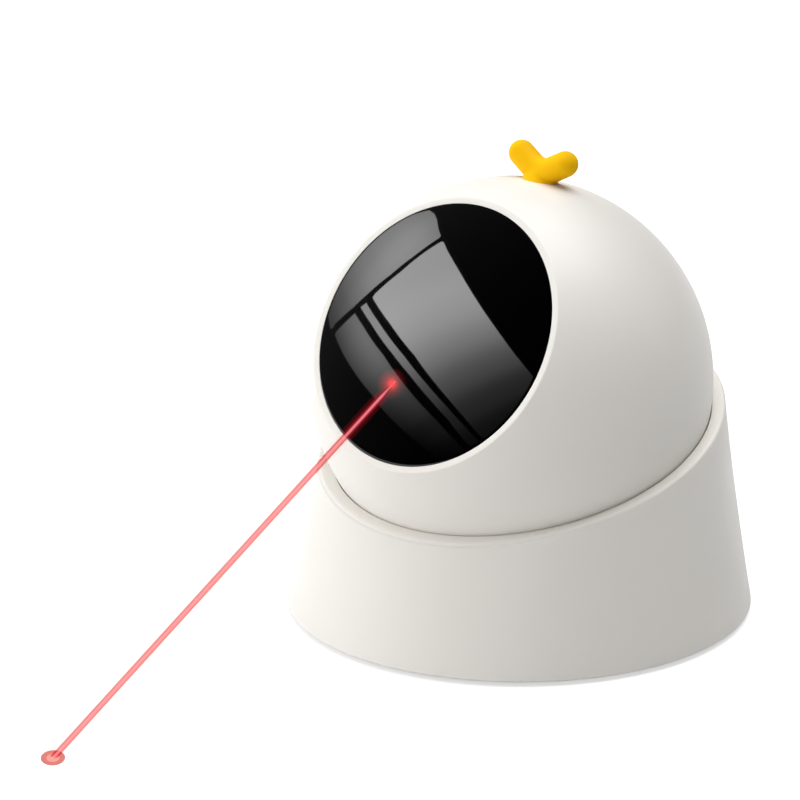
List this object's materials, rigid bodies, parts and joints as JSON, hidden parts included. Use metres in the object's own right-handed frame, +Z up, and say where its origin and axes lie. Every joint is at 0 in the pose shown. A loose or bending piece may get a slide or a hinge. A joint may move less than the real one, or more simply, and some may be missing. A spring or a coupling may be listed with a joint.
{
  "type": "automatic cat laser toy",
  "caption": "Round-based pet toy with a ball head that pans and tilts, a dark window and a swinging laser inside, and a small sprout on top.",
  "frame": {"origin": "on the floor under the middle of the round base", "axes": "+Z up, -Y is the front that the window and the low side of the collar face, +X to the right seen from the front"},
  "size_m": [0.0924, 0.0925, 0.0942],
  "materials": {
    "shell_white": "satin warm white moulded plastic",
    "bowl_white": "matte warm white moulded plastic",
    "window_black": "glossy dark window",
    "sprout_yellow": "soft yellow silicone",
    "foot_grey": "soft grey silicone",
    "works_white": "moulded inner plastic",
    "gear_plastic": "slippery gear plastic",
    "washer_plastic": "slippery washer plastic",
    "friction_rubber": "soft friction washer",
    "screw_steel": "plain steel",
    "motor_steel": "drawn steel can",
    "laser_brass": "turned brass",
    "lens_clear": "clear lens",
    "light_clear": "clear light guide",
    "board_green": "circuit board",
    "switch_black": "switch body",
    "cell_foil": "foil pouch",
    "socket_steel": "drawn steel mouth",
    "lamp_white": "small lamp"
  },
  "bodies": {
    "root": {"base_shell": "shell_white", "socket_bowl": "bowl_white", "bottom_cover": "bowl_white", "foot_ring": "foot_grey", "cover_screws": "screw_steel", "bowl_screws": "screw_steel", "thrust_washer": "washer_plastic", "retaining_washer": "washer_plastic", "retaining_screw": "screw_steel", "pan_motor": "motor_steel", "pan_motor_screws": "screw_steel", "battery": "cell_foil", "main_board": "board_green", "board_screws": "screw_steel", "charging_socket": "socket_steel", "tact_switch": "switch_black", "status_light": "lamp_white", "light_guide": "light_clear"},
    "button": {"power_button": "shell_white", "switch_plunger": "switch_black"},
    "pan_drive": {"pan_shaft": "screw_steel", "pan_pinion": "gear_plastic"},
    "turntable": {"turntable": "gear_plastic", "tilt_yoke": "works_white", "yoke_screws": "screw_steel", "friction_washers": "friction_rubber"},
    "head": {"ball_upper_shell": "shell_white", "ball_lower_shell": "shell_white", "shell_screws": "screw_steel", "window": "window_black", "sprout": "sprout_yellow", "head_chassis": "works_white", "chassis_screws": "screw_steel", "tilt_pins": "screw_steel", "driver_board": "board_green", "swing_motor": "motor_steel", "motor_strap": "works_white", "strap_screws": "screw_steel"},
    "laser": {"laser_cradle": "works_white", "swing_sector": "gear_plastic", "laser_module": "laser_brass", "laser_lens": "lens_clear"},
    "swing_drive": {"swing_shaft": "screw_steel", "swing_pinion": "gear_plastic"}
  },
  "joints": [
    {"name": "button_press", "type": "slide", "parent": "root", "child": "button", "axis": [0, -1, 0], "range_m": [0, 0.0005], "stiffness_N_per_m": 500},
    {"name": "head_pan", "type": "hinge", "parent": "root", "child": "turntable", "pos_m": [0, -0.0027, 0.0118], "axis": [0, 0, 1], "range_deg": [-120, 120]},
    {"name": "pan_pinion_spin", "type": "hinge", "parent": "root", "child": "pan_drive", "pos_m": [-0.03205, -0.0027, 0.0118], "axis": [0, 0, 1], "range_deg": [-360, 360]},
    {"name": "head_tilt", "type": "hinge", "parent": "turntable", "child": "head", "pos_m": [0, -0.0027, 0.0484], "axis": [1, 0, 0], "range_deg": [-12, 20]},
    {"name": "laser_swing", "type": "hinge", "parent": "head", "child": "laser", "pos_m": [0.00037, -0.01797, 0.0676], "axis": [0.9888, -0.1495, 0], "range_deg": [-18, 12]},
    {"name": "swing_pinion_spin", "type": "hinge", "parent": "head", "child": "swing_drive", "pos_m": [0.00247, -0.00408, 0.0676], "axis": [0.9888, -0.1495, 0], "range_deg": [-36, 54]}
  ],
  "couplings": [
    {"joint": "pan_pinion_spin", "follows": "head_pan", "ratio": -3},
    {"joint": "swing_pinion_spin", "follows": "laser_swing", "ratio": -3}
  ]
}
